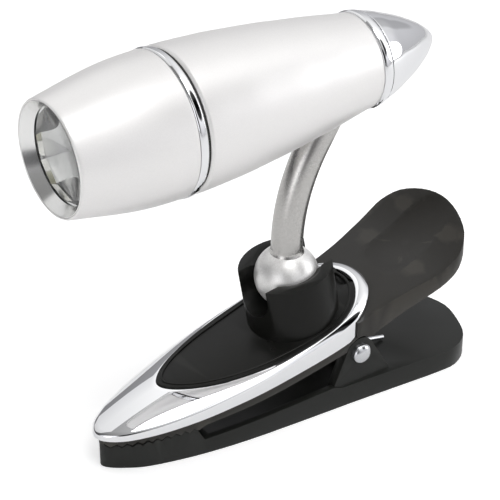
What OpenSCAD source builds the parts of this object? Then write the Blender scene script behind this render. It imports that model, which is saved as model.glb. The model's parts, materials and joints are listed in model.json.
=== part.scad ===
// Clip-on reading lamp: spring clip, ball joint with a bent neck, and a bullet-shaped lamp.
// X runs along the clip, with the jaw tip and the lens toward -X. Z is up from the clip's flat underside.

/* [Clip] */
// Height of the lower jaw's side wall
jaw_wall_h = 4.4; // [4:0.1:4.6]
// Thickness of the moulded plastic walls
wall_t = 1.4; // [1.2:0.1:1.5]
// Distance from one gripping tooth to the next
tooth_pitch = 1.7; // [1.4:0.1:2]
// Height of a gripping tooth
tooth_h = 0.7; // [0.5:0.1:0.8]
// Radius of the pivot pin
pin_r = 1.4; // [1.2:0.1:1.4]
// Wire radius of the torsion spring
wire_r = 0.45; // [0.35:0.05:0.45]

/* [Ball joint] */
// Radius of the ball
ball_r = 6.25; // [6.15:0.05:6.3]
// Clearance of the ball in its socket
ball_gap = 0.05; // [0.03:0.01:0.1]
// Outer radius of the socket cup
cup_r = 9; // [8.6:0.1:9.4]
// Width of the cup's front and rear slot
slot_w = 9; // [8:0.1:9.4]
// Radius of the bent neck
neck_r = 3.05; // [2.9:0.05:3.2]

/* [Lamp] */
// Height of the lamp's axis above the table
lamp_z = 67.7; // [67:0.1:69]
// Length of the lamp from its front lip to its tail
lamp_len = 82.4; // [82:0.1:83]
// Wall thickness of the lamp's shells
shell_t = 1.4; // [1.2:0.1:1.5]
// Radius of a button cell
cell_r = 5.8; // [5.6:0.1:5.9]
// Thickness of a button cell
cell_h = 5.4; // [5:0.1:5.4]

/* [Hidden] */
$fn = 64;

// Every X below is measured from the ball's centre; ball_x puts the outline's middle at X = 0.
ball_x = 4.5;
ball_z = 26.7;
pivot = [10, 10.8];

black = [0.12, 0.12, 0.12];
chrome = [0.86, 0.87, 0.89];
silver = [0.80, 0.80, 0.82];
steel = [0.66, 0.67, 0.69];

// Plan outlines as half widths [x, y] from tip to rear.
lower_half = [
  [-42.4, 0], [-41.3, 1.7], [-39, 3.4], [-36, 5.1], [-31, 6.7], [-24, 8.3], [-15, 9.6], [-4, 10.5],
  [8, 11.3], [19, 12.2], [28, 12.9], [32.8, 12.7], [36.8, 10.2], [39.2, 5.4], [40.5, 0]
];
upper_half = [
  [-42.5, 0], [-41.2, 1.8], [-38, 3.9], [-33, 6.1], [-27, 8], [-21, 9.4], [-13, 10.6], [-4, 10.95],
  [8, 10.8], [14, 10.6], [20, 11.1], [25, 12], [29.3, 12.6], [32.5, 12.4], [35.4, 10.1], [37.3, 5.4], [38, 0]
];
bezel_half = [
  [-43.4, 0], [-42.2, 2.5], [-39, 4.9], [-33.8, 7], [-27.6, 8.7], [-21.4, 9.9], [-13.4, 10.9],
  [-5, 11.2], [4, 11.1], [9.5, 10.3], [13.5, 8], [16.2, 4.4], [17, 0]
];
cover_half = [
  [-29.4, 0], [-28.5, 1.9], [-26.2, 3.9], [-22.6, 5.9], [-17.6, 7.8], [-12, 9.2],
  [-6, 10], [1, 10.3], [6, 9.8], [10, 7.9], [12.6, 5.2], [14, 2.6], [14.4, 0]
];
plan_steps = 3;

// Heights of the clip's sloping lines as a function of x.
function above(x, start) = pow(max(0, x - start), 2);
function seat_z(x) = 13 + 0.165 * x + 0.0022 * above(-x, 22);
function edge_z(x) = 17.2 + 0.25 * x + 0.0038 * x * x;
function bevel_z(x) = seat_z(x) + 1.3 + 0.045 * (x + 42.8) + 0.0058 * above(x, 0);
function tooth_z(x) = 4.85 + 0.09 * (x + 42.4);
function pad_z(x) = 16.3 + 0.31 * (x - 4) - 0.0002 * x * x + 0.033 * above(x, 26);
function skirt_z(x) = 13.4 + 0.43 * (x - 13) + 0.034 * above(x, 27);

teeth_x = [-42.9, -25.8];
tooth_n = floor((teeth_x[1] - teeth_x[0]) / (tooth_pitch / 2));
jaw_gap = 0.2;
teeth = [for (i = [0:tooth_n]) let (x = teeth_x[0] + i * tooth_pitch / 2)
  [x, tooth_z(x) + (i % 2 == 0 ? -tooth_h / 2 : tooth_h / 2)]];

// Smooth closed loop through a half outline and its mirror image.
function cubic(a, b, c, d, t) =
  b + t * (c - a) / 2 + t * t * (a - 2.5 * b + 2 * c - d / 2) + t * t * t * (3 * b - 3 * c + d - a) / 2;
function mirrored(p) = concat(p, [for (i = [len(p) - 2:-1:1]) [p[i].x, -p[i].y]]);
function smoothed(p, n) = let (m = len(p)) [for (i = [0:m - 1]) for (k = [0:n - 1])
  cubic(p[(i + m - 1) % m], p[i], p[(i + 1) % m], p[(i + 2) % m], k / n)];
function plan(half) = smoothed(mirrored(half), plan_steps);
function inset(p, d) = let (m = len(p)) [for (i = [0:m - 1])
  let (t = p[(i + 1) % m] - p[(i + m - 1) % m]) p[i] + d * [t.y, -t.x] / norm(t)];
function line(f0, f1, n) = [for (i = [0:n]) f0 + (f1 - f0) * i / n];

module in_frame() { translate([ball_x, 0, 0]) children(); }
module column(outline) { linear_extrude(60) polygon(outline); }
module side(points, y0, y1) {
  translate([0, y1, 0]) rotate([90, 0, 0]) linear_extrude(y1 - y0) polygon(points);
}
module side_all(points) { side(points, -20, 20); }
module both_sides() { children(); mirror([0, 1, 0]) children(); }
module across(p, r, y0, y1) {
  translate([p.x, y1, p.y]) rotate([90, 0, 0]) cylinder(r = r, h = y1 - y0);
}

// Lamp parts turn around the lamp's axis; t is the distance behind the front lip.
lamp_x = -49.5;
module on_lamp_axis() { translate([lamp_x, 0, lamp_z]) rotate([0, 90, 0]) children(); }
module turned(points) { on_lamp_axis() rotate_extrude() polygon([for (p = points) [p[1], p[0]]]); }
module lamp_tube(t0, t1, r0, r1) { turned([[t0, r0], [t1, r0], [t1, r1], [t0, r1]]); }

// Closed sweep of a round wire along a path.
function unit(v) = v / norm(v);
function frame_at(p, i, up) = let (t = unit(p[min(i + 1, len(p) - 1)] - p[max(i - 1, 0)]),
  a = unit(cross(up, t))) [a, cross(t, a)];
module wire(path, r, up, sides = 8) {
  rings = [for (i = [0:len(path) - 1]) let (f = frame_at(path, i, up)) for (k = [0:sides - 1])
    path[i] + r * (cos(360 * k / sides) * f[0] + sin(360 * k / sides) * f[1])];
  end_ring = (len(path) - 1) * sides;
  walls = [for (i = [0:len(path) - 2]) for (k = [0:sides - 1]) let (j = (k + 1) % sides)
    [i * sides + k, (i + 1) * sides + k, (i + 1) * sides + j, i * sides + j]];
  ends = [[for (k = [0:sides - 1]) k], [for (k = [sides - 1:-1:0]) end_ring + k]];
  polyhedron(rings, concat(walls, ends));
}

// ---- clip, lower body ----
ear_y = [8.6, 10.6];
ear_r = 3.2;
ear_base = [3.7, 17.5];
ear_side = [for (a = [30.5, 155]) pivot + ear_r * [cos(a), sin(a)]];
tray_x = [-23, 12];
paddle_x = [14, 36.5];

// The lower wall's top rises from behind the teeth to the ears.
throat_h = [3.3, 5.1];
module lower_shell() {
  top = concat([for (p = teeth) p - [0, jaw_gap / 2]],
    [[-24.5, throat_h[0]], [ear_base[0], throat_h[1]], [ear_base[0] + 2, jaw_wall_h]],
    [[45, jaw_wall_h], [45, 0], [-45, 0]]);
  intersection() { column(plan(lower_half)); side_all(top); }
}
module hollow(outline, xs, zs) {
  intersection() {
    translate([0, 0, -30]) column(outline);
    side_all([[xs[0], zs[0]], [xs[1], zs[0]], [xs[1], zs[1]], [xs[0], zs[1]]]);
  }
}
module ears() {
  both_sides() {
    side([
      [ear_base[0], 1], [ear_base[1], 1], [ear_base[1], jaw_wall_h], ear_side[0], pivot, ear_side[1],
      [ear_base[0], jaw_wall_h]
    ], ear_y[0], ear_y[1]);
    across(pivot, ear_r, ear_y[0], ear_y[1]);
  }
}
module lower_jaw() {
  inner = inset(plan(lower_half), wall_t);
  color(black) in_frame() difference() {
    union() {
      difference() {
        lower_shell();
        hollow(inner, tray_x, [wall_t, 9]);
        hollow(inner, paddle_x, [-5, jaw_wall_h - wall_t]);
      }
      ears();
    }
    across(pivot, pin_r + 0.04, -12, 12);
  }
}

pin_head_r = 2.1;
pin_end_y = 12.2;
module pivot_pin() {
  dome_r = 2.6;
  dome_h = dome_r - sqrt(dome_r * dome_r - pin_head_r * pin_head_r);
  color(steel) in_frame() {
    across(pivot, pin_r, -ear_y[1] - 0.1, pin_end_y);
    translate([pivot.x, -ear_y[1] - 0.1, pivot.y]) rotate([90, 0, 0]) {
      cylinder(r = pin_head_r, h = 0.6);
      intersection() {
        translate([0, 0, 0.6 + dome_h - dome_r]) sphere(r = dome_r);
        translate([0, 0, 0.3]) cylinder(r = pin_head_r, h = 3);
      }
    }
  }
}
module pin_cap() {
  color(steel) in_frame() difference() {
    across(pivot, pin_head_r + 0.2, ear_y[1] + 0.1, pin_end_y + 0.5);
    across(pivot, pin_r, ear_y[1], pin_end_y);
  }
}

// The spring's coil starts below the pin, ends above it, and both legs run to the rear.
coil_r = 2;
coil_y = 2.2;
coil_turns = 3.5;
coil_steps = 14;
leg_x = 22.2;
module torsion_spring() {
  last = coil_turns * coil_steps;
  coil = [for (i = [0:last]) let (a = -90 - 360 * i / coil_steps)
    [pivot.x + coil_r * cos(a), -coil_y + 2 * coil_y * i / last, pivot.y + coil_r * sin(a)]];
  leg_low = [
    [leg_x, -coil_y - 0.3, jaw_wall_h + wire_r + 0.1],
    [16, -coil_y - 0.2, 6.4],
    [11.8, -coil_y, 8.3]
  ];
  leg_high = [[11.8, coil_y, 13.05], [17.2, coil_y + 0.1, 13.9], [leg_x, coil_y + 0.2, 18.6]];
  color(steel) in_frame() wire(concat(leg_low, coil, leg_high), wire_r, [0, 1, 0]);
}

// ---- clip, upper body ----
deck_t = 1.3;
neck_front_x = 9.2;
deck_end = 17.4;
pad_t = 1.9;
lug_y = [6.2, 8.3];
module upper_profile() {
  top = concat([for (x = line(-43.5, -22, 8)) [x, seat_z(x)]], [[neck_front_x, seat_z(neck_front_x)]],
    [for (x = line(neck_front_x, 26, 4)) [x, pad_z(x)]], [for (x = line(27, 40, 13)) [x, pad_z(x)]]);
  bottom = concat([for (x = line(40, 28, 8)) [x, skirt_z(x)]],
    [[13, skirt_z(13)], [8, seat_z(8) - 2], [-24.3, seat_z(-24.3) - 2]],
    [for (i = [len(teeth) - 1:-1:0]) teeth[i] + [0, jaw_gap / 2]]);
  side_all(concat(top, bottom));
}
module upper_hollow() {
  roof = concat([[-22, seat_z(-22) - deck_t], [deck_end, seat_z(deck_end) - deck_t]],
    [for (x = line(deck_end + 1.2, 38.6, 12)) [x, pad_z(x) - pad_t]]);
  intersection() {
    column(inset(plan(upper_half), wall_t));
    side_all(concat(roof, [[38.6, 0], [-22, 0]]));
  }
}
module lugs() {
  both_sides() {
    side([
      pivot - [3, 0], pivot + [3, 0], [pivot.x + 4.5, pad_z(14) - 1], [pivot.x + 2, pad_z(11) - 1.8],
      [pivot.x - 3, seat_z(7) - 0.5]
    ], lug_y[0], lug_y[1]);
    across(pivot, 3, lug_y[0], lug_y[1]);
  }
}
screws_x = [-19, 3.5];
module screw_posts(r, z0, z1) {
  for (x = screws_x) translate([x, 0, z0]) cylinder(r = r, h = z1 - z0);
}
dish_r = 22;
dish_x = 29;
dish_depth = 0.7;
dish_slope = 26.4;
module upper_jaw() {
  color(black) in_frame() difference() {
    union() {
      difference() {
        intersection() { column(plan(upper_half)); upper_profile(); }
        upper_hollow();
      }
      lugs();
    }
    intersection() {
      column(inset(plan(bezel_half), -0.05));
      side_all([[-22, seat_z(-22)], [30, seat_z(30)], [30, 60], [-22, 60]]);
    }
    translate([dish_x, 0, pad_z(dish_x)]) rotate([0, -dish_slope, 0])
      translate([0, 0, dish_r - dish_depth]) sphere(r = dish_r);
    across(pivot, pin_r + 0.08, -12, 12);
    both_sides() across(pivot, ear_r + 0.4, ear_y[0] - 0.25, 12);
    screw_posts(1.15, 0, 40);
  }
}

module bezel() {
  outer = plan(bezel_half);
  inner = inset(plan(cover_half), -0.15);
  n = len(outer);
  m = len(inner);
  loops = [
    [for (p = outer) [p.x, p.y, seat_z(p.x)]],
    [for (p = outer) [p.x, p.y, bevel_z(p.x)]],
    [for (p = inner) [p.x, p.y, edge_z(p.x)]],
    [for (p = inner) [p.x, p.y, seat_z(p.x)]]
  ];
  walls = [for (r = [0:3]) for (i = [0:n - 1])
    [r * n + i, r * n + (i + 1) % n, ((r + 1) % 4) * n + (i + 1) % n, ((r + 1) % 4) * n + i]];
  color(chrome) in_frame() polyhedron(concat(loops[0], loops[1], loops[2], loops[3]), walls);
}

// Cup, socket and slot around the ball.
cup_tilt = 10;
rim_tilt = 7.5;
rim_p = [0, 29];
module at_ball(tilt) { translate([0, 0, ball_z]) rotate([0, -tilt, 0]) children(); }
module cup() {
  difference() {
    at_ball(cup_tilt) translate([0, 0, -14]) cylinder(r = cup_r, h = 24);
    translate([rim_p.x, 0, rim_p.y]) rotate([0, -rim_tilt, 0]) translate([-20, -20, 0]) cube(40);
    side_all([[-20, 0], [20, 0], [20, seat_z(20) + 1], [-20, seat_z(-20) + 1]]);
  }
}
module socket() {
  translate([0, 0, ball_z]) sphere(r = ball_r + ball_gap);
  translate([rim_p.x, 0, rim_p.y]) rotate([0, -rim_tilt, 0]) translate([0, 0, -0.5])
    cylinder(r1 = 6.2, r2 = 7.4, h = 0.7);
}
module slot() {
  translate([-15, 0, ball_z - 1.7]) rotate([0, 90, 0]) cylinder(r = slot_w / 2, h = 30);
  translate([-15, -slot_w / 2, ball_z - 1.7]) cube([30, slot_w, 20]);
}
module cover_plate() {
  top = [for (x = line(-30, 15, 15)) [x, edge_z(x) + 0.3]];
  inner_top = [for (x = line(-24, 10, 10)) [x, edge_z(x) - 1.2]];
  difference() {
    intersection() {
      column(plan(cover_half));
      side_all(concat(top, [[15, seat_z(15)], [-30, seat_z(-30)]]));
    }
    intersection() {
      column(inset(plan(cover_half), 1.6));
      side_all(concat(inner_top, [[10, seat_z(10) - 1], [-24, seat_z(-24) - 1]]));
    }
  }
}
module cover_posts() {
  difference() {
    screw_posts(2.2, 5, 25);
    side_all(concat([[-30, 0], [30, 0]], [[30, seat_z(30)], [-30, seat_z(-30)]]));
    side_all(concat([for (x = line(-30, 30, 20)) [x, edge_z(x) - 0.5]], [[30, 60], [-30, 60]]));
  }
}
module cover() {
  color(black) in_frame() difference() {
    union() {
      cover_plate();
      cup();
      cover_posts();
    }
    socket();
    slot();
    for (x = screws_x) translate([x, 0, seat_z(x) - 1]) cylinder(r = 0.9, h = 3.6);
  }
}
module cover_screws() {
  color(steel) in_frame() for (x = screws_x) {
    translate([x, 0, seat_z(x) - deck_t - 0.45]) {
      translate([0, 0, -0.9]) cylinder(r = 1.8, h = 0.9);
      cylinder(r = 0.85, h = 4);
    }
  }
}

// ---- ball, neck ----
spigot_r = 1.8;
spigot_low = -2.2;
bend_z = 32.9;
bend_r = 38.9;
bend_end = 32;
tip_len = 8.5;
tip_z = 59.2;
boss_x = 9.4;
boss_top = 61.3;
collar_step = 0.06;
module ball() {
  color(silver) in_frame() translate([0, 0, ball_z]) difference() {
    sphere(r = ball_r);
    translate([0, 0, -8]) cylinder(r = spigot_r + 0.05, h = 16);
    translate([0, 0, -8]) cylinder(r = 2.3, h = 8 + spigot_low - 0.2);
  }
}
module ball_screw() {
  color(steel) in_frame() translate([0, 0, ball_z + spigot_low - 0.3]) {
    translate([0, 0, -1.1]) cylinder(r = 2, h = 1.1);
    cylinder(r = 0.9, h = 5);
  }
}
module bend(r, a0, a1) {
  translate([bend_r, 0, bend_z]) rotate([90, 0, 0]) rotate([0, 0, 180 - a1])
    rotate_extrude(angle = a1 - a0) translate([bend_r, 0]) circle(r = r);
}
module neck_rod(r) {
  translate([0, 0, ball_z + 4.6]) cylinder(r = r + collar_step, h = bend_z + 0.1 - ball_z - 4.6);
  bend(r, 0, bend_end);
  at_neck_end() translate([0, 0, -0.1]) cylinder(r = r + collar_step, h = tip_len + 0.1);
}
module at_neck_end() {
  translate([bend_r * (1 - cos(bend_end)), 0, bend_z + bend_r * sin(bend_end)])
    rotate([0, bend_end, 0]) children();
}
module neck() {
  color(silver) in_frame() difference() {
    union() {
      difference() {
        neck_rod(neck_r);
        translate([0, 0, ball_z]) sphere(r = ball_r + 0.3);
      }
      translate([0, 0, ball_z + spigot_low - 0.1]) cylinder(r = spigot_r, h = 9);
    }
    translate([0, 0, ball_z + spigot_low - 1]) cylinder(r = 0.9, h = 5.8);
    translate([boss_x, 0, boss_top - 5]) cylinder(r = 0.9, h = 9);
    translate([0, -10, tip_z]) cube(20);
  }
}
module neck_screw() {
  color(steel) in_frame() translate([boss_x, 0, boss_top]) {
    cylinder(r = 1.9, h = 1.1);
    translate([0, 0, -5]) cylinder(r = 0.9, h = 5.1);
  }
}

// ---- lamp, fixed part ----
front_line = [[0, 10.65], [4, 11.45], [8.4, 12.3], [12.5, 12.95], [16.7, 13.35], [21.6, 13.5]];
barrel_line = [
  [23.9, 13.55], [27, 13.5], [31, 13.3], [35, 13.05], [39.5, 12.6], [45.5, 11.95],
  [50, 11.3], [55, 10.6], [60, 9.75], [64.4, 9]
];
cone_line = [
  [66.4, 9.05], [69, 8.3], [71, 7.55], [73, 6.75], [75, 5.85], [77, 4.8], [79, 3.6], [81, 2.1],
  [82.1, 0.8], [lamp_len, 0]
];
ring_t = [21.7, 23.3];
neck_in_r = 11.9;
function back(p) = [for (i = [len(p) - 1:-1:0]) p[i]];
function thinner(p, d) = [for (q = p) q - [0, d]];
module barrel() {
  nose = [
    [23.9, 10.7], [15.6, 10.7], [15.6, neck_in_r], [ring_t[0], neck_in_r], [ring_t[0], 12.3], [23.9, 12.3]
  ];
  body = concat(barrel_line, [[64.4, 7], [63, 7]],
    [for (p = back(thinner(barrel_line, shell_t))) if (p[0] < 63) p], nose);
  hull_line = concat([[50, 0]], [for (p = barrel_line) if (p[0] >= 50) p - [0, 0.3]], [[64.4, 0]]);
  color(silver) in_frame() difference() {
    union() {
      turned(body);
      intersection() {
        translate([boss_x, 0, boss_top - 8]) cylinder(r = 4.4, h = 8);
        turned(hull_line);
      }
    }
    intersection() {
      neck_rod(neck_r + 0.03);
      translate([-10, -10, tip_z + 0.03 - 40]) cube(40);
    }
    translate([boss_x, 0, boss_top - 5]) cylinder(r = 1, h = 9);
  }
}
module centre_ring() {
  a = ring_t[0];
  b = ring_t[1];
  color(chrome) in_frame()
    turned([[a, 12.34], [a, 13.5], [a + 0.4, 13.7], [b - 0.4, 13.7], [b, 13.5], [b, 12.34]]);
}
module seal_ring() { color([0.05, 0.05, 0.05]) in_frame() lamp_tube(ring_t[1], 23.9, 12.34, 13.1); }
module tail_collar() {
  color(chrome) in_frame()
    turned([[64.4, 7.6], [64.4, 9.2], [64.8, 9.35], [66.1, 9.2], [66.4, 9.05], [66.4, 7.6]]);
}
module tail_cone() {
  hollow = [[79.6, 0], [77, 3.3], [75, 4.5], [73, 5.4], [71, 6.2], [69, 6.6], [64.5, 6.4]];
  color(chrome) in_frame() turned(concat(cone_line, hollow, [[64.5, 7.55], [66.4, 7.55]]));
}
carrier_t = [24.2, 48];
module battery_carrier() {
  a = carrier_t[0];
  b = carrier_t[1];
  color(black) in_frame() turned([
    [a, 1.2], [a, 11.8], [a + 1.2, 11.8], [a + 1.2, 7.2], [b - 1.4, 7.2], [b - 1.4, 9.6],
    [b, 9.6], [b, 6], [26, 6], [26, 1.2]
  ]);
}
module button_cells() {
  color(steel) in_frame() for (i = [0:2]) let (t = 26.5 + i * (cell_h + 0.05))
    turned([
      [t, 0], [t, cell_r - 0.9], [t + 0.6, cell_r - 0.7], [t + 0.6, cell_r], [t + cell_h, cell_r],
      [t + cell_h, 0]
    ]);
}
module cell_spring() {
  turns = 3;
  steps = 12;
  t0 = 26.5 + 3 * cell_h + 0.6;
  path = [for (i = [0:turns * steps]) let (a = 360 * i / steps, r = 2.6 + 2.4 * i / (turns * steps))
    [t0 + 4 * i / (turns * steps), r * cos(a), r * sin(a)]];
  color(steel) in_frame() translate([lamp_x, 0, lamp_z]) wire(path, 0.35, [1, 0, 0], 6);
}
module front_contact() { color([0.85, 0.7, 0.35]) in_frame() lamp_tube(26.05, 26.4, 0, 5); }

// ---- lamp, turning head ----
module front_shell() {
  lip = [[0, 9.9], [2, 9.4], [4.5, 9.4], [5, 10]];
  color(silver) in_frame() turned(concat(lip, [[8.4, 10.85], [12.5, 11.5], [15, neck_in_r + 0.06]],
    [[21.6, neck_in_r + 0.06]], back(front_line)));
}
module lens_ring() { color(chrome) in_frame() turned([[0.2, 9.82], [0.2, 9.55], [2.2, 8.75], [2.2, 9.3]]); }
module lens() { color([0.85, 0.9, 0.95, 0.4]) in_frame() lamp_tube(2.25, 3.45, 0, 9.3); }
module reflector() {
  bowl = [for (i = [0:8]) let (r = 8.7 - 6.1 * i / 8) [4.3 + 9.2 * (1 - pow((r - 1.2) / 7.5, 2)), r]];
  outer = [for (i = [8:-1:0]) let (r = 9.3 - 6 * i / 8) [4.9 + 9.2 * (1 - pow((r - 1.8) / 7.5, 2)), r]];
  color(chrome) in_frame() turned(concat([[3.5, 9.3], [3.5, 8.7]], bowl, outer));
}
module led() {
  color([0.9, 0.92, 0.85]) in_frame() {
    lamp_tube(11, 14, 0, 2.5);
    on_lamp_axis() translate([0, 0, 11]) sphere(r = 2.5);
  }
}
module led_board() { color([0.1, 0.35, 0.2]) in_frame() lamp_tube(14.05, 15.3, 0, 9.6); }
module board_pin() {
  color([0.85, 0.7, 0.35]) in_frame()
    turned([[15.35, 0], [15.35, 1.6], [17, 1.6], [17, 0.9], [25.4, 0.9], [26, 0.4], [26, 0]]);
}

lower_jaw();
pivot_pin();
pin_cap();
torsion_spring();
upper_jaw();
bezel();
cover();
cover_screws();
ball();
ball_screw();
neck();
neck_screw();
barrel();
centre_ring();
seal_ring();
tail_collar();
tail_cone();
battery_carrier();
button_cells();
cell_spring();
front_contact();
front_shell();
lens_ring();
lens();
reflector();
led();
led_board();
board_pin();
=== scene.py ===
"""Clip-on reading lamp: the finished look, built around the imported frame."""

import json
import math

import bmesh
import bpy
from bpy.props import FloatProperty, FloatVectorProperty, IntProperty, PointerProperty
from mathutils import Matrix, Vector


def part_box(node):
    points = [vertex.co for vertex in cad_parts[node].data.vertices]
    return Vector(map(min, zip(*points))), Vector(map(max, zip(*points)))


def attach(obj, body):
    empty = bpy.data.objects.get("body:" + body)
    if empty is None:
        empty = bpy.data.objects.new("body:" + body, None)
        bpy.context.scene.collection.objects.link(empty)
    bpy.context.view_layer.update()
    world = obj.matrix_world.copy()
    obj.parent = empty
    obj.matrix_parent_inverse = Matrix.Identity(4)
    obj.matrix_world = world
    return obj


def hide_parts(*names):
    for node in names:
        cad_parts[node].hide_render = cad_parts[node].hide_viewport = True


bl_info = {
    "name": "Clip-on reading lamp",
    "version": (1, 0, 0),
    "blender": (4, 5, 0),
    "location": "3D View > Sidebar > Reading Lamp",
    "description": "Builds the visible pieces and finishes of a clip-on reading lamp",
    "category": "Object",
}

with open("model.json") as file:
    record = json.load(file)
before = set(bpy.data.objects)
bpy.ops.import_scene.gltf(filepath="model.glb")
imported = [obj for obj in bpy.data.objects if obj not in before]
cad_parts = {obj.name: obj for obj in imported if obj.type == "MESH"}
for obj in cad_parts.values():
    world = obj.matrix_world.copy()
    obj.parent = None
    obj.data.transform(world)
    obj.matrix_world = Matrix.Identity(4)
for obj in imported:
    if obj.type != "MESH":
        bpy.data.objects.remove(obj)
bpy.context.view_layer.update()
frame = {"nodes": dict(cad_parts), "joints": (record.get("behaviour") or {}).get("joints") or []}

MM = 0.001
ALONG = Vector((1, 0, 0))
ACROSS = Vector((0, 1, 0))
UP = Vector((0, 0, 1))


def joint_place(name):
    """The point that a joint of the frame turns about."""
    return Vector(next(j["pos_m"] for j in frame["joints"] if j["name"] == name))


LIP_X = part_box("front_shell")[0].x
AXIS_Z = (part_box("centre_ring")[0].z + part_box("centre_ring")[1].z) / 2
BALL = joint_place("neck_tilt")
PIVOT = joint_place("clip_hinge")

# Half outlines of the clip, (x, y) in mm from the ball's centre, tip first.
BEZEL_HALF = [
    (-43.4, 0), (-42.2, 2.5), (-39, 4.9), (-33.8, 7), (-27.6, 8.7), (-21.4, 9.9), (-13.4, 10.9),
    (-5, 11.2), (4, 11.1), (9.5, 10.3), (13.5, 8), (16.2, 4.4), (17, 0),
]
COVER_HALF = [
    (-29.4, 0), (-28.5, 1.9), (-26.2, 3.9), (-22.6, 5.9), (-17.6, 7.8), (-12, 9.2),
    (-6, 10), (1, 10.3), (6, 9.8), (10, 7.9), (12.6, 5.2), (14, 2.6), (14.4, 0),
]

# Outer lines of the lamp, (distance behind the front lip, radius) in mm.
FRONT_LINE = [(0.35, 10.75), (4, 11.45), (8.4, 12.3), (12.5, 12.95), (16.7, 13.35), (21.6, 13.5)]
BARREL_LINE = [
    (24.5, 13.55), (27, 13.5), (31, 13.3), (35, 13.05), (39.5, 12.6), (45.5, 11.95),
    (50, 11.3), (55, 10.6), (60, 9.75), (64.3, 9.02),
]
CONE_LINE = [
    (66.5, 9.0), (69, 8.3), (71, 7.55), (73, 6.75), (75, 5.85), (77, 4.8), (79, 3.6), (81, 2.0),
    (82.1, 0.75), (82.38, 0),
]

# Bores and small turned outlines of the lamp, measured in the same way.
FRONT_BORE = [
    (0.14, 10.64), (0, 10.5), (0.04, 10.34), (0.5, 10.1), (2, 9.4), (4.5, 9.4), (5, 10),
    (8.4, 10.85), (12.5, 11.5), (15, 11.96), (21.55, 11.96),
]
BARREL_END = [(64.4, 8.8), (64.4, 7), (63, 7)]
BARREL_SPIGOT = [
    (24, 10.7), (15.6, 10.7), (15.6, 11.9), (21.7, 11.9), (21.7, 12.3), (23.95, 12.3),
    (23.95, 13.15),
]
BARREL_WALL = 1.4
BARREL_BORE_LENGTH = 62
CENTRE_RING = [
    (21.72, 12.3), (21.72, 13.45), (22.0, 13.66), (22.5, 13.7), (23.0, 13.66), (23.28, 13.45),
    (23.28, 12.3),
]
TAIL_COLLAR = [
    (64.42, 7.6), (64.42, 9.12), (64.8, 9.34), (65.5, 9.3), (66.1, 9.2), (66.38, 9.0),
    (66.38, 7.6),
]
CONE_BORE = [
    (79.6, 0), (77, 3.3), (75, 4.5), (73, 5.4), (71, 6.2), (69, 6.6), (64.5, 6.4), (64.5, 7.55),
    (66.42, 7.55),
]
LENS_RING = [(0.3, 10.16), (0.16, 10.22), (0.1, 10.1), (1.2, 9.4), (2.2, 8.78), (2.2, 9.3)]
LENS = [(2.28, 0), (2.3, 5), (2.36, 9.28), (2.76, 9.28), (2.78, 0)]
REFLECTOR_RIM = [(2.85, 9.25), (2.85, 8.72)]
LIGHT_DOME = [
    (8.52, 0), (8.6, 0.7), (8.9, 1.35), (9.4, 1.9), (10.1, 2.3), (11, 2.48), (14, 2.48), (14, 0),
]

# The ball, (height above its centre, radius) in mm: the lower hole and the screw's bore.
BALL_RADIUS = 6.25
BALL_MOUTH = (-5.81, 2.3)
BALL_BORE = [(5.97, 1.85), (-2.4, 1.85), (-2.4, 2.3)]

# The raised line on the cover, (distance in from the edge, lift) in mm.
LIP_STEPS = [(0.9, -0.1), (0.9, 0.42), (1.008, 0.5), (1.26, 0.5), (1.35, 0.42), (1.35, -0.1)]

# The spring's legs, in mm from the pivot.
LOW_LEG = [(12.2, -2.5, -5.8), (6, -2.4, -4.4), (1.8, -2.2, -2.5)]
HIGH_LEG = [(1.8, 2.2, 2.25), (7.2, 2.3, 3.1), (12.2, 2.4, 7.8)]


class LampSizes(bpy.types.PropertyGroup):
    """Sizes a user may want to change."""

    turn_steps: IntProperty(
        name="Turning steps", description="Faces around each turned piece", default=144, min=24
    )
    edge_round: FloatProperty(
        name="Edge rounding", description="Rounding on moulded edges", default=0.25 * MM,
        unit="LENGTH",
    )
    neck_radius: FloatProperty(
        name="Neck radius", description="Radius of the bent neck", default=3.05 * MM, unit="LENGTH"
    )
    neck_bend: FloatProperty(
        name="Neck bend", description="Radius of the neck's bend", default=38.9 * MM, unit="LENGTH"
    )
    bezel_crown: FloatProperty(
        name="Rim crown", description="How far the chrome rim bulges", default=0.35 * MM,
        unit="LENGTH",
    )
    reflector_facets: IntProperty(
        name="Reflector facets", description="Flat wedges around the reflector", default=12, min=6
    )


def colour_property(name, default):
    """A colour that a user may change."""
    return FloatVectorProperty(
        name=name, description=f"Colour of the {name.lower()}", subtype="COLOR", size=3,
        default=default,
    )


class LampColours(bpy.types.PropertyGroup):
    """Colours a user may want to change."""

    lacquer: colour_property("Lacquer", (0.90, 0.888, 0.878))
    # The neck and the ball are one paint: darker on the neck as painted shade, lighter on the ball
    # as painted light.
    neck: colour_property("Neck lacquer", (0.54, 0.53, 0.515))
    ball: colour_property("Ball lacquer", (0.9, 0.89, 0.87))
    inner_cone: colour_property("Ring inside the lip", (0.88, 0.88, 0.87))
    plastic: colour_property("Plastic", (0.0115, 0.0115, 0.0105))
    chrome: colour_property("Chrome", (0.90, 0.905, 0.92))
    mirror: colour_property("Reflector", (0.95, 0.945, 0.92))
    steel: colour_property("Steel", (0.66, 0.67, 0.69))
    brass: colour_property("Brass", (0.80, 0.64, 0.32))
    board: colour_property("Circuit board", (0.05, 0.22, 0.12))
    dome: colour_property("Light dome", (0.93, 0.90, 0.66))
    rubber: colour_property("Rubber", (0.012, 0.012, 0.012))
    lens: colour_property("Lens", (0.97, 0.985, 1.0))
    floor: colour_property("Floor", (0.93, 0.93, 0.93))


def sizes():
    """The sizes as the user has set them."""
    return bpy.context.scene.reading_lamp_sizes


def colours():
    """The colours as the user has set them."""
    return bpy.context.scene.reading_lamp_colours


# ---------------------------------------------------------------- curves

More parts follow.
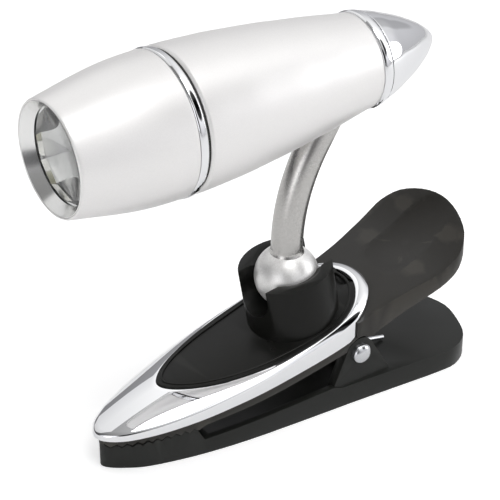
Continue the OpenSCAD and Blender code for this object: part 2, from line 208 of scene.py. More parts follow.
def curve_point(a, b, c, d, t):
    """Point between b and c on a smooth curve through a, b, c and d."""
    return (
        b + (c - a) * (t / 2)
        + (a - b * 2.5 + c * 2 - d * 0.5) * (t * t)
        + (b * 3 - c * 3 + d - a) * (t * t * t / 2)
    )


def smooth_line(points, steps):
    """An open smooth line through the points, ends kept."""
    p = [Vector(q) for q in points]
    p = [p[0] * 2 - p[1], *p, p[-1] * 2 - p[-2]]
    line = [
        tuple(curve_point(p[i - 1], p[i], p[i + 1], p[i + 2], k / steps))
        for i in range(1, len(p) - 2)
        for k in range(steps)
    ]
    return [*line, tuple(p[-2])]


def smooth_loop(half, steps):
    """A closed smooth loop through a half outline and its mirror image."""
    p = [Vector(q) for q in half] + [Vector((x, -y)) for x, y in half[-2:0:-1]]
    n = len(p)
    return [
        curve_point(p[i - 1], p[i], p[(i + 1) % n], p[(i + 2) % n], k / steps)
        for i in range(n)
        for k in range(steps)
    ]


def seat_z(x):
    """Height of the rim's seat, at x mm from the ball's centre."""
    return 13 + 0.165 * x + 0.0022 * max(0, -22 - x) ** 2


def edge_z(x):
    """Height of the cover's edge, where the rim meets it."""
    return 17.2 + 0.25 * x + 0.0038 * x * x


def pad_z(x):
    """Height of the thumb pad's top."""
    return 16.3 + 0.31 * (x - 4) - 0.0002 * x * x + 0.033 * max(0, x - 26) ** 2


def bevel_z(x):
    """Height of the rim's outer shoulder."""
    return seat_z(x) + 1.3 + 0.045 * (x + 42.8) + 0.0058 * max(0, x) ** 2


# ---------------------------------------------------------------- meshes

def finish_piece(bm, name, body, material, nodes, smooth_angle=40):
    """Turns a bmesh into a piece that rides its body and stands for its CAD nodes."""
    for face in bm.faces:
        face.smooth = True
    mesh = bpy.data.meshes.new(name)
    bm.to_mesh(mesh)
    bm.free()
    mesh.set_sharp_from_angle(angle=math.radians(smooth_angle))
    piece = bpy.data.objects.new(name, mesh)
    bpy.context.scene.collection.objects.link(piece)
    mesh.materials.append(material)
    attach(piece, body)
    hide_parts(*nodes)
    return piece


def round_sharp_edges(bm, radius, least_angle, segments=3):
    """Rounds every edge that turns by more than least_angle."""
    sharp = [
        e for e in bm.edges
        if len(e.link_faces) == 2 and e.calc_face_angle(0) > math.radians(least_angle)
    ]
    bmesh.ops.bevel(
        bm, geom=sharp, offset=radius, offset_type="OFFSET", affect="EDGES", segments=segments,
        profile=0.5, material=-1, clamp_overlap=True,
    )


def spin_profile(profile, centre, axis, out, steps):
    """A closed body from (distance along axis, radius) points in mm, turned fully around."""
    bm = bmesh.new()
    verts = [bm.verts.new(centre + axis * t * MM + out * r * MM) for t, r in profile]
    edges = [bm.edges.new(pair) for pair in zip(verts, verts[1:])]
    on_axis = profile[0][1] == 0 and profile[-1][1] == 0
    if not on_axis:
        edges.append(bm.edges.new((verts[-1], verts[0])))
    bmesh.ops.spin(
        bm, geom=[*verts, *edges], cent=centre, axis=axis, angle=math.tau, steps=steps,
        use_merge=True,
    )
    bmesh.ops.remove_doubles(bm, verts=bm.verts, dist=1e-7)
    bmesh.ops.recalc_face_normals(bm, faces=bm.faces)
    return bm


def turned(profile, rounding, steps=None):
    """A body turned around the lamp's axis, with its hard corners rounded."""
    bm = spin_profile(profile, Vector((LIP_X, 0, AXIS_Z)), ALONG, UP, steps or sizes().turn_steps)
    if rounding:
        round_sharp_edges(bm, rounding * MM, least_angle=24)
    return bm


def frame_copy(node):
    """A merged copy of a CAD node's mesh with its flat faces joined."""
    bm = bmesh.new()
    bm.from_mesh(frame["nodes"][node].data)
    bmesh.ops.remove_doubles(bm, verts=bm.verts, dist=2e-6)
    bmesh.ops.dissolve_limit(
        bm, angle_limit=math.radians(0.3), verts=bm.verts, edges=bm.edges,
        use_dissolve_boundaries=False,
    )
    return bm


def moulded(node):
    """A copy of a moulded CAD node with its edges rounded."""
    bm = frame_copy(node)
    round_sharp_edges(bm, sizes().edge_round, least_angle=32, segments=2)
    return bm


def loft(loops):
    """A ring-shaped body from closed loops of equal length, each given as points in mm."""
    bm = bmesh.new()
    rings = []
    for loop in loops:
        made = bmesh.ops.create_circle(bm, segments=len(loop), radius=1)["verts"]
        for vert, point in zip(made, loop):
            vert.co = Vector(point) * MM
        rings.append(list({e for v in made for e in v.link_edges}))
    for lower, upper in zip(rings, rings[1:] + rings[:1]):
        bmesh.ops.bridge_loops(bm, edges=lower + upper)
    bmesh.ops.recalc_face_normals(bm, faces=bm.faces)
    return bm


# ---------------------------------------------------------------- materials

# Where noise mostly stays, and the sockets of a Mix node that is set to colours.
NOISE_SPAN = (0.3, 0.7)
MIX_FACTOR_AND_COLOURS = (0, 6, 7)
MIX_RESULT = 2


def new_group(name, inputs, outputs):
    """A node group of plain numbers, with its input and output nodes."""
    group = bpy.data.node_groups.new(name, "ShaderNodeTree")
    for label, default in inputs.items():
        socket = group.interface.new_socket(label, in_out="INPUT", socket_type="NodeSocketFloat")
        socket.default_value = default
    for label in outputs:
        group.interface.new_socket(label, in_out="OUTPUT", socket_type="NodeSocketFloat")
    return group, group.nodes.new("NodeGroupInput"), group.nodes.new("NodeGroupOutput")


def surface_grain():
    """Fine moulding or coating grain, with broad uneven patches from handling."""
    name = "surface_grain"
    if name in bpy.data.node_groups:
        return bpy.data.node_groups[name]
    group, start, end = new_group(name, {"Grain per metre": 3000, "Patch per metre": 60},
                                  ["Height", "Patch"])
    place = group.nodes.new("ShaderNodeTexCoord")
    for source, target, detail in (
        ("Grain per metre", "Height", 2.0), ("Patch per metre", "Patch", 4.0),
    ):
        noise = group.nodes.new("ShaderNodeTexNoise")
        noise.inputs["Detail"].default_value = detail
        group.links.new(place.outputs["Object"], noise.inputs["Vector"])
        group.links.new(start.outputs[source], noise.inputs["Scale"])
        group.links.new(noise.outputs["Fac"], end.inputs[target])
    return group


def pearl_flake():
    """Tiny bright and dark flakes in a metallic coat."""
    name = "pearl_flake"
    if name in bpy.data.node_groups:
        return bpy.data.node_groups[name]
    group, start, end = new_group(name, {"Flakes per metre": 6000}, ["Flake"])
    place = group.nodes.new("ShaderNodeTexCoord")
    cells = group.nodes.new("ShaderNodeTexVoronoi")
    split = group.nodes.new("ShaderNodeSeparateColor")
    group.links.new(place.outputs["Object"], cells.inputs["Vector"])
    group.links.new(start.outputs["Flakes per metre"], cells.inputs["Scale"])
    group.links.new(cells.outputs["Color"], split.inputs["Color"])
    group.links.new(split.outputs["Red"], end.inputs["Flake"])
    return group


def worn_edges():
    """A mask that is high where the surface turns an outer corner, where a painted highlight goes.
    """
    name = "worn_edges"
    if name in bpy.data.node_groups:
        return bpy.data.node_groups[name]
    group, start, end = new_group(name, {"From": 0.53, "To": 0.62}, ["Edge"])
    shape = group.nodes.new("ShaderNodeNewGeometry")
    ramp = group.nodes.new("ShaderNodeMapRange")
    group.links.new(shape.outputs["Pointiness"], ramp.inputs["Value"])
    group.links.new(start.outputs["From"], ramp.inputs["From Min"])
    group.links.new(start.outputs["To"], ramp.inputs["From Max"])
    group.links.new(ramp.outputs["Result"], end.inputs["Edge"])
    return group


def add_group(tree, group, **values):
    """Places a node group and sets its inputs, whose names have underscores for spaces here."""
    node = tree.nodes.new("ShaderNodeGroup")
    node.node_tree = group
    for label, value in values.items():
        node.inputs[label.replace("_", " ")].default_value = value
    return node


def feed(tree, value, socket):
    """Links another socket to this one, or sets a plain value on it."""
    if isinstance(value, bpy.types.NodeSocket):
        tree.links.new(value, socket)
    else:
        socket.default_value = value


def blend_colours(tree, factor, low, high):
    """A colour between low and high. Each value is a socket or a plain one."""
    mix = tree.nodes.new("ShaderNodeMix")
    mix.data_type = "RGBA"
    for value, index in zip((factor, low, high), MIX_FACTOR_AND_COLOURS):
        feed(tree, value, mix.inputs[index])
    return mix.outputs[MIX_RESULT]


def map_range(tree, value, limits, kind="LINEAR"):
    """Maps a value by four limits: from low and high, to low and high."""
    node = tree.nodes.new("ShaderNodeMapRange")
    node.interpolation_type = kind
    for label, limit in zip(("From Min", "From Max", "To Min", "To Max"), limits):
        node.inputs[label].default_value = limit
    tree.links.new(value, node.inputs["Value"])
    return node.outputs["Result"]


def shade(colour, amount):
    """A lighter or darker copy of a colour, with full opacity."""
    return (*(min(1.0, c * amount) for c in colour), 1)


def coat(name, colour, metallic, rough, spread, grain, bump, patch=60, tone=(0.94, 1.03)):
    """A base finish: uneven tone and gloss, and a fine raised grain.

    Grain and patch are counts per metre, spread is how far roughness varies, bump is in mm, and
    tone is how dark and how light the colour gets.
    """
    material = bpy.data.materials.new(name)
    material.use_nodes = True
    tree = material.node_tree
    shader = tree.nodes["Principled BSDF"]
    shader.inputs["Metallic"].default_value = metallic
    grainy = add_group(tree, surface_grain(), Grain_per_metre=grain, Patch_per_metre=patch)
    uneven = grainy.outputs["Patch"]
    tint = blend_colours(tree, uneven, shade(colour, tone[0]), shade(colour, tone[1]))
    tree.links.new(tint, shader.inputs["Base Color"])
    gloss = map_range(tree, uneven, (*NOISE_SPAN, rough - spread, rough + spread))
    tree.links.new(gloss, shader.inputs["Roughness"])
    relief = tree.nodes.new("ShaderNodeBump")
    relief.inputs["Strength"].default_value = 1.0
    relief.inputs["Distance"].default_value = bump * MM
    tree.links.new(grainy.outputs["Height"], relief.inputs["Height"])
    tree.links.new(relief.outputs["Normal"], shader.inputs["Normal"])
    return material, tree, shader, tint


def satin_lacquer(name, colour, metallic, rough, flakes, depth, bump=0.002):
    """Pearl-silver lacquer. Flakes are counted per metre and differ in tone by depth."""
    material, tree, shader, tint = coat(
        name, colour, metallic, rough, spread=0.02, grain=5000, bump=bump, patch=45,
        tone=(0.985, 1.01),
    )
    flake = add_group(tree, pearl_flake(), Flakes_per_metre=flakes).outputs["Flake"]
    speckled = blend_colours(tree, flake, shade(colour, 1 - depth), shade(colour, 1 + depth))
    softened = blend_colours(tree, 0.5, tint, speckled)
    tree.links.new(softened, shader.inputs["Base Color"])
    return material


def black_plastic(name, tint_and_painted_light, rough, gloss):
    """Satin moulded plastic, with a painted highlight along its outer edges."""
    # The tint shift also darkens the cover's copy as painted shade and lightens and warms the
    # pad's copy as painted light.
    colour = [c * shift for c, shift in zip(colours().plastic, tint_and_painted_light)]
    material, tree, shader, tint = coat(
        name, colour, metallic=0, rough=rough, spread=0.05, grain=3500, bump=0.006, patch=90,
        tone=(0.8, 1.25),
    )
    edges = add_group(tree, worn_edges())
    # Painted highlight: the outer edges are lightened 2.2 times.
    edge_highlighted = blend_colours(tree, edges.outputs["Edge"], tint, shade(colour, 2.2))
    tree.links.new(edge_highlighted, shader.inputs["Base Color"])
    shader.inputs["Specular IOR Level"].default_value = gloss
    return material


def plated(name, colour, rough=0.03):
    """Bright plating with faint waviness and thin haze."""
    return coat(
        name, colour, metallic=1, rough=rough, spread=rough * 0.5, grain=700, bump=0.0008,
        patch=40, tone=(0.97, 1.01),
    )[0]


def drawn_steel(name):
    """Plain steel with the fine uneven haze of drawn wire and turned pins."""
    return coat(
        name, colours().steel, metallic=1, rough=0.22, spread=0.06, grain=2500, bump=0.004,
        patch=300,
    )[0]


def clear_lens(name):
    """Clear moulded lens with a faint haze."""
    material, _, shader, _ = coat(
        name, colours().lens, metallic=0, rough=0.02, spread=0.01, grain=900, bump=0.0005
    )
    shader.inputs["Transmission Weight"].default_value = 1.0
    shader.inputs["IOR"].default_value = 1.47
    return material


def make_lacquers(paint):
    """The silver lacquers of the shells, the neck and the ball, and the ring inside the lip. The
    neck and the ball are one paint: the neck's copy is darker as painted shade, the ball's lighter
    as painted light.
    """
    satin_lacquer("finish_lacquer", paint.lacquer, 0.5, 0.42, flakes=9000, depth=0.04)
    satin_lacquer(
        "finish_neck_lacquer_painted_shade", paint.neck, 0.95, 0.27, flakes=5500, depth=0.2, bump=0.005
    )
    satin_lacquer(
        "finish_ball_lacquer_painted_light", paint.ball, 0.6, 0.38, flakes=5500, depth=0.16, bump=0.008
    )
    satin_lacquer(
        "finish_inner_cone", paint.inner_cone, 1.0, 0.2, flakes=7000, depth=0.06, bump=0.003
    )


def make_plastics():
    """The black plastics of the cover, the upper jaw and the lower jaw: one plastic, darkened on
    the cover as painted shade and lightened on the upper jaw's pad as painted light.
    """
    # Painted shade: the cover's plastic is darkened, so the cup's front reads darker.
    black_plastic("finish_plastic_painted_shade", (0.65, 0.66, 0.64), rough=0.32, gloss=0.2)
    # Painted light: the upper jaw's plastic is lightened and warmed, so the pad's upward faces
    # read lighter.
    black_plastic("finish_pad_plastic_painted_light", (1.4, 1.25, 1.1), rough=0.4, gloss=0.42)
    black_plastic("finish_lower_plastic", (1.0, 1.06, 1.02), rough=0.38, gloss=0.32)


def make_small_finishes(paint):
    """Plating, steel, brass, board, light dome, rubber and lens."""
    plated("finish_chrome", paint.chrome)
    plated("finish_mirror", paint.mirror, rough=0.05)
    drawn_steel("finish_steel")
    plated("finish_brass", paint.brass, rough=0.2)
    for name, colour, rough, spread, grain, bump in (
        ("finish_board", paint.board, 0.4, 0.08, 2500, 0.01),
        ("finish_dome", paint.dome, 0.12, 0.03, 900, 0.001),
        ("finish_rubber", paint.rubber, 0.6, 0.08, 3500, 0.01),
    ):
        coat(name, colour, 0, rough, spread, grain, bump)
    clear_lens("finish_lens")


def shared_finishes():
    """The finishes that the pieces share, by name, made when they are first asked for."""
    shared = bpy.data.materials
    if "finish_lacquer" not in shared:
        make_lacquers(colours())
        make_plastics()
        make_small_finishes(colours())
    return shared


# ---------------------------------------------------------------- operators

class BuildStep(bpy.types.Operator):
    """Shared base of the build operators."""

    bl_options = {"REGISTER"}


class READINGLAMP_OT_shells(BuildStep):
    """Build the lacquered front shell and barrel"""

    bl_idname = "readinglamp.shells"
    bl_label = "Front shell and barrel"

    def execute(self, context):
        lacquer = shared_finishes()["finish_lacquer"]
        front = [*FRONT_BORE, *reversed(smooth_line(FRONT_LINE, 6))]
        finish_piece(turned(front, 0.08), "front_shell_skin", "head", lacquer, ["front_shell"])
        bore = [(t, r - BARREL_WALL) for t, r in reversed(BARREL_LINE) if t < BARREL_BORE_LENGTH]
        barrel = [*smooth_line(BARREL_LINE, 6), *BARREL_END, *bore, *BARREL_SPIGOT]
        finish_piece(turned(barrel, 0.06), "barrel_skin", "lamp", lacquer, ["barrel"])
        return {"FINISHED"}


class READINGLAMP_OT_rings(BuildStep):
    """Build the chrome ring, the tail collar and the tail cone"""

    bl_idname = "readinglamp.rings"
    bl_label = "Rings and tail"

    def execute(self, context):
        chrome = shared_finishes()["finish_chrome"]
        cone = [*CONE_BORE, *smooth_line(CONE_LINE, 5)]
        for node, profile, rounding in (
            ("centre_ring", CENTRE_RING, 0.05),
            ("tail_collar", TAIL_COLLAR, 0.05),
            ("tail_cone", cone, 0.04),
        ):
            finish_piece(turned(profile, rounding), f"{node}_plating", "lamp", chrome, [node])
        return {"FINISHED"}


class READINGLAMP_OT_optics(BuildStep):
    """Build the lens, its bright ring, the faceted reflector and the light dome"""

    bl_idname = "readinglamp.optics"
    bl_label = "Lens, reflector and light"

    def execute(self, context):
        shared = shared_finishes()
        finish_piece(turned(LENS_RING, 0), "lens_ring_plating", "head",
                     shared["finish_inner_cone"], ["lens_ring"])
        finish_piece(turned(LENS, 0.05), "lens_glass", "head", shared["finish_lens"], ["lens"])
        finish_piece(self.reflector(), "reflector_bowl", "head", shared["finish_mirror"],
                     ["reflector"], smooth_angle=12)
        finish_piece(turned(LIGHT_DOME, 0.1, steps=48), "light_dome", "head",
                     shared["finish_dome"], ["led"])
        return {"FINISHED"}

    def reflector(self):
        """A curved bowl, turned in few steps so that it has flat wedges."""
        front, depth = 4.3, 9.2
        rim_radius, fall, steps = 8.7, 6.1, 12
        wall = 0.55
        radii = [rim_radius - fall * i / steps for i in range(steps + 1)]
        bowl = [(front + depth * (1 - ((r - 1.2) / 7.5) ** 2), r) for r in radii]
        outer = [(t + wall, r + wall) for t, r in reversed(bowl)]
        return turned([*REFLECTOR_RIM, *bowl, *outer], 0, steps=sizes().reflector_facets)


class READINGLAMP_OT_neck(BuildStep):
    """Build the bent neck and the ball it stands on"""

    bl_idname = "readinglamp.neck"
    bl_label = "Neck and ball"

    def execute(self, context):
        shared = shared_finishes()
        finish_piece(self.ball(), "ball_skin", "joint_ball", shared["finish_ball_lacquer_painted_light"],
                     ["ball"])
        finish_piece(self.neck(), "neck_skin", "lamp", shared["finish_neck_lacquer_painted_shade"], ["neck"])
        return {"FINISHED"}

    def ball(self):
        """A ball bored for its screw, with a wider hole below for the screw's head."""
        angles = [math.radians(a) for a in range(-68, 73, 2)]
        side = [(BALL_RADIUS * math.sin(a), BALL_RADIUS * math.cos(a)) for a in angles]
        return spin_profile(
            [BALL_MOUTH, *side, *BALL_BORE], BALL, UP, ALONG, sizes().turn_steps
        )

    def neck(self):
        """A circle pulled up from the ball, round the bend and into the lamp."""
        foot = 5.15 * MM
        collar_rise = 0.35 * MM
        bend_start = 6.2 * MM
        last_rise = bend_start - 5.85 * MM
        turn = math.radians(32)
        bm = bmesh.new()
        bmesh.ops.create_circle(
            bm, segments=64, radius=sizes().neck_radius * 1.1,
            matrix=Matrix.Translation(BALL + UP * foot), cap_ends=True,
        )
        top = list(bm.faces)
        for rise, width in ((collar_rise, 0.97), (collar_rise, 0.94), (last_rise, 1.0)):
            top = self.pull(bm, top, UP * rise)
            centre = top[0].calc_center_median()
            bmesh.ops.scale(bm, vec=(width, width, 1), space=Matrix.Translation(-centre),
                            verts=top[0].verts)
        pivot = Vector((BALL.x + sizes().neck_bend, 0, BALL.z + bend_start))
        made = bmesh.ops.spin(bm, geom=top, cent=pivot, axis=ACROSS, angle=turn, steps=28)
        bmesh.ops.delete(bm, geom=top, context="FACES_ONLY")
        top = [g for g in made["geom_last"] if isinstance(g, bmesh.types.BMFace)]
        direction = Matrix.Rotation(turn, 3, "Y") @ UP
        self.pull(bm, top, direction * 7.2 * MM)
        bmesh.ops.holes_fill(bm, edges=[e for e in bm.edges if len(e.link_faces) == 1])
        bmesh.ops.recalc_face_normals(bm, faces=bm.faces)
        return bm

    def pull(self, bm, faces, offset):
        """Extrudes the faces by an offset, removes the old ones and returns the moved ones."""
        made = bmesh.ops.extrude_face_region(bm, geom=faces)
        bmesh.ops.delete(bm, geom=faces, context="FACES_ONLY")
        verts = [g for g in made["geom"] if isinstance(g, bmesh.types.BMVert)]
        bmesh.ops.translate(bm, vec=offset, verts=verts)
        return [g for g in made["geom"] if isinstance(g, bmesh.types.BMFace)]


class READINGLAMP_OT_bezel(BuildStep):
    """Build the chrome rim around the clip's cover"""

    bl_idname = "readinglamp.bezel"
    bl_label = "Chrome rim"

    # How far in from the outer shoulder each loop of the crowned top lies.
    TOP_SHARES = (0.03, 0.08, 0.15, 0.25, 0.36, 0.48, 0.6, 0.72, 0.83, 0.91, 0.96)
    # Room between the rim's inner side and the cover's outline, in mm.
    CLEARANCE = 0.15

    def execute(self, context):
        outer = smooth_loop(BEZEL_HALF, 8)
        inner = smooth_loop(COVER_HALF, 8)
        crown = sizes().bezel_crown / MM
        loops = [[self.outer_point(p, share) for p in outer] for share in (0, 0.5, 0.85)]
        for share in self.TOP_SHARES:
            loops.append([self.top_point(p, q, share, crown) for p, q in zip(outer, inner)])
        loops.append([self.inner_point(p, edge_z(p.x) - 0.1) for p in inner])
        loops.append([self.inner_point(p, seat_z(p.x)) for p in inner])
        finish_piece(loft(loops), "rim_plating", "clip_top", shared_finishes()["finish_chrome"],
                     ["bezel"], smooth_angle=50)
        return {"FINISHED"}

    def outer_point(self, p, share):
        """A point on the upright outer side, a share of the way up it."""
        low, high = seat_z(p.x), bevel_z(p.x)
        return (p.x + BALL.x / MM, p.y, low + (high - low) * share)

    def inner_point(self, p, z):
        """A point on the upright inner side."""
        out = p.normalized() * self.CLEARANCE
        return (p.x + out.x + BALL.x / MM, p.y + out.y, z)

    def top_point(self, p, q, share, crown):
        """A point on the crowned top, a share of the way from outer p to inner q."""
        at = p.lerp(q, share)
        z = bevel_z(p.x) * (1 - share) + edge_z(q.x) * share
        z += crown * 4 * share * (1 - share)
        return (at.x + BALL.x / MM, at.y, z)


class READINGLAMP_OT_jaws(BuildStep):
    """Build the moulded clip: both jaws and the cover with the ball's cup"""

    bl_idname = "readinglamp.jaws"
    bl_label = "Clip mouldings"

    # The thumb pad, in mm from the ball's centre: where it starts, the cuts that let it bend,
    # half its width, and how deep below its top the bending reaches.
    PAD_START = 9.3
    PAD_CUTS_ALONG = range(10, 38, 2)
    PAD_CUTS_ACROSS = (2, 4, 6, 8, 9.5, 11)
    PAD_HALF_WIDTH = 11.3
    PAD_DEPTH = 1.1
    # The pad's crown: how far its edges fall, where that ends, and over what length it fades.
    CROWN_FALL = 0.4
    CROWN_END = 36
    CROWN_FADE = 18
    # The point that the cover's raised line shrinks toward.
    LIP_CENTRE = Vector((-7, 0))

    def execute(self, context):
        shared = shared_finishes()
        lower = moulded("lower_jaw")
        upper = moulded("upper_jaw")
        self.crown_pad(upper)
        cover = moulded("cover")
        self.add_lip(cover)
        for bm, node, body, finish in (
            (lower, "lower_jaw", "clip_base", "finish_lower_plastic"),
            (upper, "upper_jaw", "clip_top", "finish_pad_plastic_painted_light"),
            (cover, "cover", "clip_top", "finish_plastic_painted_shade"),
        ):
            finish_piece(bm, f"{node}_moulding", body, shared[finish], [node],
                         smooth_angle=35)
        return {"FINISHED"}

    def crown_pad(self, bm):
        """Rounds the thumb pad's shoulders across its waist. Sizes are mm from the ball."""
        cuts = [(BALL.x / MM + x, ALONG) for x in self.PAD_CUTS_ALONG]
        cuts += [(side * y, ACROSS) for side in (-1, 1) for y in self.PAD_CUTS_ACROSS]
        for at, axis in cuts:
            top = [
                f for f in bm.faces
                if f.normal.z > 0.6 and f.calc_center_median().x > PIVOT.x
            ]
            verts = {v for f in top for v in f.verts}
            edges = {e for f in top for e in f.edges}
            bmesh.ops.bisect_plane(
                bm, geom=[*verts, *edges, *top], dist=1e-7, plane_co=axis * at * MM, plane_no=axis
            )
        for vert in bm.verts:
            x = (vert.co.x - BALL.x) / MM
            if x > self.PAD_START and vert.co.z / MM > pad_z(x) - self.PAD_DEPTH:
                vert.co.z -= self.crown_fall(x, vert.co.y / MM) * MM

    def crown_fall(self, x, y):
        """How far the pad falls away at a place, easing out toward its free end."""
        fade = min(1.0, max(0.0, (self.CROWN_END - x) / self.CROWN_FADE))
        ease = fade * fade * (3 - 2 * fade)
        return self.CROWN_FALL * ease * (y / self.PAD_HALF_WIDTH) ** 2

    def add_lip(self, bm):
        """A thin raised line just inside the cover's edge."""
        around = smooth_loop(COVER_HALF, 8)
        loops = []
        for inset, lift in LIP_STEPS:
            inward = [
                p.lerp(self.LIP_CENTRE, inset / max(6, (p - self.LIP_CENTRE).length))
                for p in around
            ]
            loops.append([(p.x + BALL.x / MM, p.y, edge_z(p.x) + lift) for p in inward])
        lip = loft(loops)
        mesh = bpy.data.meshes.new("lip")
        lip.to_mesh(mesh)
        lip.free()
        bm.from_mesh(mesh)
        bpy.data.meshes.remove(mesh)


class READINGLAMP_OT_metal(BuildStep):
    """Build the pivot pin, its cap and the torsion spring"""

    bl_idname = "readinglamp.metal"
    bl_label = "Pin and spring"

    def execute(self, context):
        steel = shared_finishes()["finish_steel"]
        finish_piece(self.pin(), "pivot_pin_metal", "clip_base", steel, ["pivot_pin"])
        cap = frame_copy("pin_cap")
        round_sharp_edges(cap, 0.3 * MM, least_angle=40)
        finish_piece(cap, "pin_cap_metal", "clip_base", steel, ["pin_cap"])
        finish_piece(self.spring(), "torsion_spring_wire", "clip_base", steel, ["torsion_spring"])
        return {"FINISHED"}

    def pin(self):
        """A pin with a domed head, turned about the hinge's axis."""
        low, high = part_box("pivot_pin")
        near = Vector((PIVOT.x, low.y, PIVOT.z))
        length = (high.y - low.y) / MM
        angles = [math.radians(a) for a in range(0, 91, 9)]
        dome = [(1.55 * (1 - math.cos(a)) * 0.75, 2.08 * math.sin(a)) for a in angles]
        shank = [(1.75, 2.08), (1.85, 1.98), (1.85, 1.4), (length, 1.4), (length, 0)]
        return spin_profile([*dome, *shank], near, ACROSS, UP, steps=64)

    def coil(self):
        """Points of the spring's coil, in mm from the pivot."""
        radius = 2
        half_width = 2.2
        turns = 3.5
        steps_per_turn = 32
        steps = int(turns * steps_per_turn)
        angles = [-math.pi / 2 - math.tau * i / steps_per_turn for i in range(steps + 1)]
        return [
            (radius * math.cos(a), -half_width + 2 * half_width * i / steps, radius * math.sin(a))
            for i, a in enumerate(angles)
        ]

    def spring(self):
        """Round wire: a leg on the lower paddle, the coil, and a leg under the upper one."""
        wire = bpy.data.curves.new("spring_path", "CURVE")
        wire.dimensions = "3D"
        wire.bevel_depth = 0.45 * MM
        wire.bevel_resolution = 3
        wire.use_fill_caps = True
        spline = wire.splines.new("POLY")
        path = [*LOW_LEG, *self.coil(), *HIGH_LEG]
        spline.points.add(len(path) - 1)
        for point, at in zip(spline.points, path):
            point.co = (*(PIVOT + Vector(at) * MM), 1)
        carrier = bpy.data.objects.new("spring_path", wire)
        bm = bmesh.new()
        bm.from_mesh(carrier.to_mesh())
        carrier.to_mesh_clear()
        bpy.data.objects.remove(carrier)
        bmesh.ops.remove_doubles(bm, verts=bm.verts, dist=1e-7)
        bmesh.ops.recalc_face_normals(bm, faces=bm.faces)
        return bm


class READINGLAMP_OT_inside(BuildStep):
    """Give the hidden frame parts their finishes"""

    bl_idname = "readinglamp.inside"
    bl_label = "Inner parts"

    def execute(self, context):
        shared = shared_finishes()
        nodes_by_finish = {
            "finish_steel": [
                "cover_screws", "ball_screw", "neck_screw", "button_cells", "cell_spring",
            ],
            "finish_brass": ["front_contact", "board_pin"],
            "finish_plastic_painted_shade": ["battery_carrier"],
            "finish_board": ["led_board"],
            "finish_rubber": ["seal_ring"],
        }
        for finish, nodes in nodes_by_finish.items():
            for node in nodes:
                mesh = frame["nodes"][node].data
                mesh.materials.clear()
                mesh.materials.append(shared[finish])
        return {"FINISHED"}


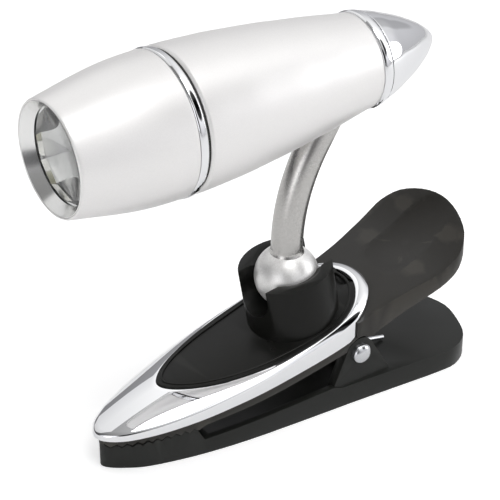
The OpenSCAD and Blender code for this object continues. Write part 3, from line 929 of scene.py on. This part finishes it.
class READINGLAMP_OT_stage(BuildStep):
    """Set up the floor, the lights, the surroundings and the camera"""

    bl_idname = "readinglamp.stage"
    bl_label = "Stage"

    # Name, place in metres, disc size and power of each light, and the point they all face.
    LIGHTS = [
        ("key", (-0.1, -0.3, 0.95), 0.5, 2.3),
        ("side", (0.75, -0.4, 0.25), 0.45, 1.1),
        ("front", (-0.75, -0.3, 0.12), 0.3, 0.3),
        ("back", (-0.2, 0.8, 0.75), 1.3, 2.2),
    ]
    LIGHT_TARGET = Vector((0, 0, 0.04))

    # The room's colour by height, from the horizon up, and its overall strength.
    ROOM = [(0.0, (0.5, 0.5, 0.515)), (0.35, (0.6, 0.6, 0.62)), (0.75, (1, 1, 1))]
    ROOM_STRENGTH = 0.78
    # The brighter side of the room: direction, edge, core, and brightness at both.
    BRIGHT_SIDE = ((0.9, -0.3, 0.0), -0.85, 0.8, 0.2, 1.35)
    # Places in the room that metal mirrors: direction, edge, core and brightness at the core.
    PORTS = [
        ((0.38, -0.64, 0.62), 0.6, 0.97, 1.65),
        ((-0.92, -0.35, 0.12), 0.86, 0.96, 9.0),
        ((-0.55, -0.78, 0.3), 0.95, 0.985, 0.12),
        ((0.45, -0.58, 0.66), 0.955, 0.98, 0.03),
        ((0.48, -0.72, 0.5), 0.955, 0.98, 0.03),
        ((0.86, 0.36, 0.38), 0.97, 0.99, 0.7),
    ]

    # The camera: where it aims, the way back to it from there, and how far.
    AIM = Vector((0.23, 6.0, 30.65)) * MM
    VIEW_BACK = Vector((-0.4864, -0.6947, 0.5299))
    VIEW_DISTANCE = 0.38

    def execute(self, context):
        self.floor()
        self.surroundings(context.scene)
        for name, place, size, power in self.LIGHTS:
            self.light(name, place, size, power)
        self.camera(context.scene)
        context.scene.view_settings.view_transform = "Standard"
        return {"FINISHED"}

    def floor(self):
        """A wide pale floor, lifted a little where it is seen directly."""
        bm = bmesh.new()
        bmesh.ops.create_grid(bm, x_segments=1, y_segments=1, size=3)
        mesh = bpy.data.meshes.new("floor")
        bm.to_mesh(mesh)
        bm.free()
        floor = bpy.data.objects.new("floor", mesh)
        bpy.context.scene.collection.objects.link(floor)
        material, tree, shader, _ = coat(
            "finish_floor", colours().floor, metallic=0, rough=0.7, spread=0.05, grain=400,
            bump=0.0, patch=3, tone=(0.995, 1.005),
        )
        shader.inputs["Emission Color"].default_value = (1, 1, 1, 1)
        seen = tree.nodes.new("ShaderNodeLightPath")
        lift = self.times(tree, seen.outputs["Is Camera Ray"], 0.4)
        tree.links.new(lift, shader.inputs["Emission Strength"])
        mesh.materials.append(material)

    def surroundings(self, scene):
        """Soft room light: brighter above and to one side, with a glow and darker ports."""
        world = bpy.data.worlds.new("soft_room")
        scene.world = world
        world.use_nodes = True
        tree = world.node_tree
        sky = tree.nodes["Background"]
        place = tree.nodes.new("ShaderNodeTexCoord")
        split = tree.nodes.new("ShaderNodeSeparateXYZ")
        tree.links.new(place.outputs["Generated"], split.inputs["Vector"])
        ramp = tree.nodes.new("ShaderNodeValToRGB")
        stops = ramp.color_ramp.elements
        stops.new(self.ROOM[1][0])
        for stop, (height, colour) in zip(stops, self.ROOM):
            stop.position = height
            stop.color = (*colour, 1)
        tree.links.new(split.outputs["Z"], ramp.inputs["Fac"])
        level = self.times(tree, self.toward(tree, place, *self.BRIGHT_SIDE), self.ROOM_STRENGTH)
        for direction, edge, core, brightness in self.PORTS:
            port = self.toward(tree, place, direction, edge, core, 1.0, brightness)
            level = self.times(tree, level, port)
        tree.links.new(ramp.outputs["Color"], sky.inputs["Color"])
        tree.links.new(level, sky.inputs["Strength"])

    def times(self, tree, value, factor):
        """The product of a socket and another socket or a plain number."""
        node = tree.nodes.new("ShaderNodeMath")
        node.operation = "MULTIPLY"
        tree.links.new(value, node.inputs[0])
        feed(tree, factor, node.inputs[1])
        return node.outputs[0]

    def toward(self, tree, place, direction, start, stop, low, high):
        """A value that goes from low to high as the direction looked in nears the given one."""
        dot = tree.nodes.new("ShaderNodeVectorMath")
        dot.operation = "DOT_PRODUCT"
        dot.inputs[1].default_value = Vector(direction).normalized()
        tree.links.new(place.outputs["Generated"], dot.inputs[0])
        return map_range(tree, dot.outputs["Value"], (start, stop, low, high), "SMOOTHSTEP")

    def light(self, name, place, size, power):
        """A soft disc light that faces the lamp."""
        data = bpy.data.lights.new(name, "AREA")
        data.shape = "DISK"
        data.size = size
        data.energy = power
        lamp = bpy.data.objects.new(name, data)
        bpy.context.scene.collection.objects.link(lamp)
        lamp.location = place
        aim = self.LIGHT_TARGET - Vector(place)
        lamp.rotation_mode = "QUATERNION"
        lamp.rotation_quaternion = aim.to_track_quat("-Z", "Y")

    def camera(self, scene):
        """The camera, with a long lens."""
        data = bpy.data.cameras.new("view")
        data.sensor_width = 36
        data.lens = 144
        data.clip_start = 0.01
        view = bpy.data.objects.new("view", data)
        scene.collection.objects.link(view)
        view.location = self.AIM + self.VIEW_BACK * self.VIEW_DISTANCE
        view.rotation_mode = "QUATERNION"
        view.rotation_quaternion = (-self.VIEW_BACK).to_track_quat("-Z", "Y")
        scene.camera = view


STEPS = [
    READINGLAMP_OT_stage, READINGLAMP_OT_shells, READINGLAMP_OT_rings, READINGLAMP_OT_optics,
    READINGLAMP_OT_neck, READINGLAMP_OT_bezel, READINGLAMP_OT_jaws, READINGLAMP_OT_metal,
    READINGLAMP_OT_inside,
]


class READINGLAMP_PT_build(bpy.types.Panel):
    """Lists the sizes, colours and build steps."""

    bl_idname = "READINGLAMP_PT_build"
    bl_label = "Reading Lamp"
    bl_space_type = "VIEW_3D"
    bl_region_type = "UI"
    bl_category = "Reading Lamp"

    def draw(self, context):
        for group in (context.scene.reading_lamp_sizes, context.scene.reading_lamp_colours):
            column = self.layout.column(align=True)
            for name in group.__annotations__:
                column.prop(group, name)
        for step in STEPS:
            self.layout.operator(step.bl_idname)


CLASSES = [LampSizes, LampColours, *STEPS, READINGLAMP_PT_build]


def register():
    """Registers the classes and gives the scene its sizes and colours."""
    for cls in CLASSES:
        bpy.utils.register_class(cls)
    bpy.types.Scene.reading_lamp_sizes = PointerProperty(type=LampSizes)
    bpy.types.Scene.reading_lamp_colours = PointerProperty(type=LampColours)


def unregister():
    """Undoes register."""
    del bpy.types.Scene.reading_lamp_colours
    del bpy.types.Scene.reading_lamp_sizes
    for cls in reversed(CLASSES):
        bpy.utils.unregister_class(cls)


def main():
    """Registers the add-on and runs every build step."""
    register()
    for step in STEPS:
        group, name = step.bl_idname.split(".")
        getattr(getattr(bpy.ops, group), name)()


if __name__ == "__main__":
    main()
